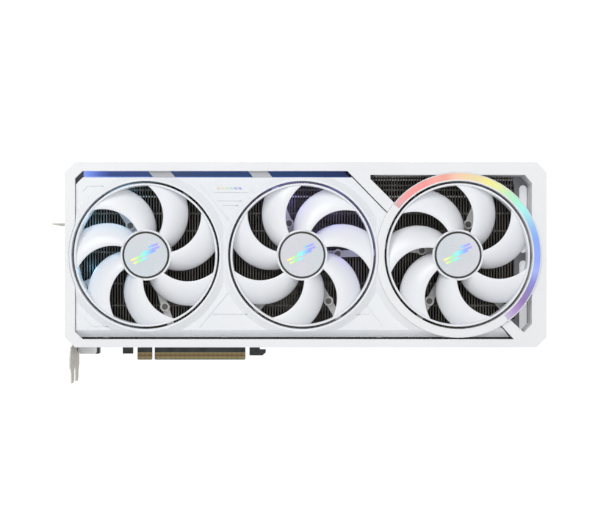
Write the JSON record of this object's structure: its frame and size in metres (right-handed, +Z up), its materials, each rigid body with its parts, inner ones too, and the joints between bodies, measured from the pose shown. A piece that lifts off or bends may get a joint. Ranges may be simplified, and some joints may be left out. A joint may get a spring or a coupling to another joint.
{
  "type": "graphics card",
  "caption": "Long white graphics card: finned cooler with axial fans under a ringed shroud, case bracket, edge connector and a rear fan.",
  "frame": {"origin": "middle of the key notch in the edge connector, at the tips of the contacts and halfway through the board", "axes": "+X from the bracket to the far end, +Z up from the edge contacts, fans facing -Y"},
  "size_m": [0.3718, 0.0764, 0.167],
  "materials": {
    "frame_white": "fine-grained satin moulding",
    "shroud_white": "fine-grained satin moulding",
    "ring_white": "satin moulding",
    "light_ring": "frosted diffuser, lit in a run of colours",
    "light_bar": "smoked diffuser with a lit edge",
    "ramp_grey": "satin moulding",
    "badge_white": null,
    "brace_grey": "satin paint",
    "fin_metal": "bare rolled sheet, darkened",
    "pipe_nickel": "nickel plate",
    "plate_nickel": "nickel plate",
    "pad_rubber": "soft silicone",
    "board_black": "black solder mask",
    "contact_gold": "gold plate",
    "chip_silicon": "bare die on a resin carrier",
    "chip_black": "moulded epoxy",
    "ferrite": "sintered ferrite",
    "can_aluminium": "drawn can",
    "socket_black": "glass-filled moulding",
    "bracket_steel": "nickel-plated sheet",
    "shell_steel": "drawn shell",
    "screw_steel": "plated screw",
    "spring_steel": "spring steel",
    "shaft_steel": "ground shaft",
    "cover_white": "satin moulding",
    "backplate_white": "white powder coat",
    "standoff_brass": "turned brass",
    "slider_white": "moulded knob",
    "fan_frame_grey": "glass-filled moulding",
    "rear_frame_white": "satin moulding",
    "bearing_bronze": "sintered bronze",
    "winding_copper": "enamelled wire",
    "rotor_white": "smooth satin moulding",
    "hub_disc": null
  },
  "bodies": {
    "card": {"outer_frame": "frame_white", "front_shroud": "shroud_white", "right_fan_ring": "ring_white", "light_ring": "light_ring", "light_bar": "light_bar", "light_bar_ramps": "ramp_grey", "badge_plate": "badge_white", "end_brace": "brace_grey", "fin_stack": "fin_metal", "heat_pipes": "pipe_nickel", "cold_plate": "plate_nickel", "thermal_pads": "pad_rubber", "pcb": "board_black", "edge_contacts": "contact_gold", "gpu_chip": "chip_silicon", "memory_chips": "chip_black", "power_inductors": "ferrite", "power_stages": "chip_black", "capacitors": "can_aluminium", "control_chips": "chip_black", "power_socket": "socket_black", "power_socket_pins": "contact_gold", "io_bracket": "bracket_steel", "bracket_screws": "screw_steel", "video_socket_shells": "shell_steel", "video_socket_tongues": "socket_black", "io_cover": "cover_white", "backplate": "backplate_white", "backplate_screws": "screw_steel", "standoffs": "standoff_brass", "retention_plate": "spring_steel", "retention_screws": "screw_steel", "retention_springs": "spring_steel", "switch_housing": "socket_black", "fan_frame_left": "fan_frame_grey", "fan_frame_middle": "fan_frame_grey", "fan_frame_right": "fan_frame_grey", "fan_frame_rear": "rear_frame_white", "fan_bearings": "bearing_bronze", "stator_left": "winding_copper", "stator_middle": "winding_copper", "stator_right": "winding_copper", "stator_rear": "winding_copper"},
    "fan_left": {"rotor_left": "rotor_white", "hub_cap_left": "hub_disc", "magnet_left": "ferrite", "shaft_left": "shaft_steel"},
    "fan_middle": {"rotor_middle": "rotor_white", "hub_cap_middle": "hub_disc", "magnet_middle": "ferrite", "shaft_middle": "shaft_steel"},
    "fan_right": {"rotor_right": "rotor_white", "hub_cap_right": "hub_disc", "magnet_right": "ferrite", "shaft_right": "shaft_steel"},
    "fan_rear": {"rotor_rear": "rotor_white", "hub_cap_rear": "hub_disc", "magnet_rear": "ferrite", "shaft_rear": "shaft_steel"},
    "profile_switch": {"switch_slider": "slider_white"}
  },
  "joints": [
    {"name": "fan_left_spin", "type": "hinge", "parent": "card", "child": "fan_left", "pos_m": [0.001, -0.0638, 0.0821], "axis": [0, -1, 0], "continuous": true},
    {"name": "fan_middle_spin", "type": "hinge", "parent": "card", "child": "fan_middle", "pos_m": [0.1172, -0.0638, 0.0821], "axis": [0, 1, 0], "continuous": true},
    {"name": "fan_right_spin", "type": "hinge", "parent": "card", "child": "fan_right", "pos_m": [0.2334, -0.0638, 0.0821], "axis": [0, -1, 0], "continuous": true},
    {"name": "fan_rear_spin", "type": "hinge", "parent": "card", "child": "fan_rear", "pos_m": [0.2334, 0.01, 0.0821], "axis": [0, 1, 0], "continuous": true},
    {"name": "profile_switch_slide", "type": "slide", "parent": "card", "child": "profile_switch", "axis": [1, 0, 0], "range_m": [0, 0.002]}
  ]
}
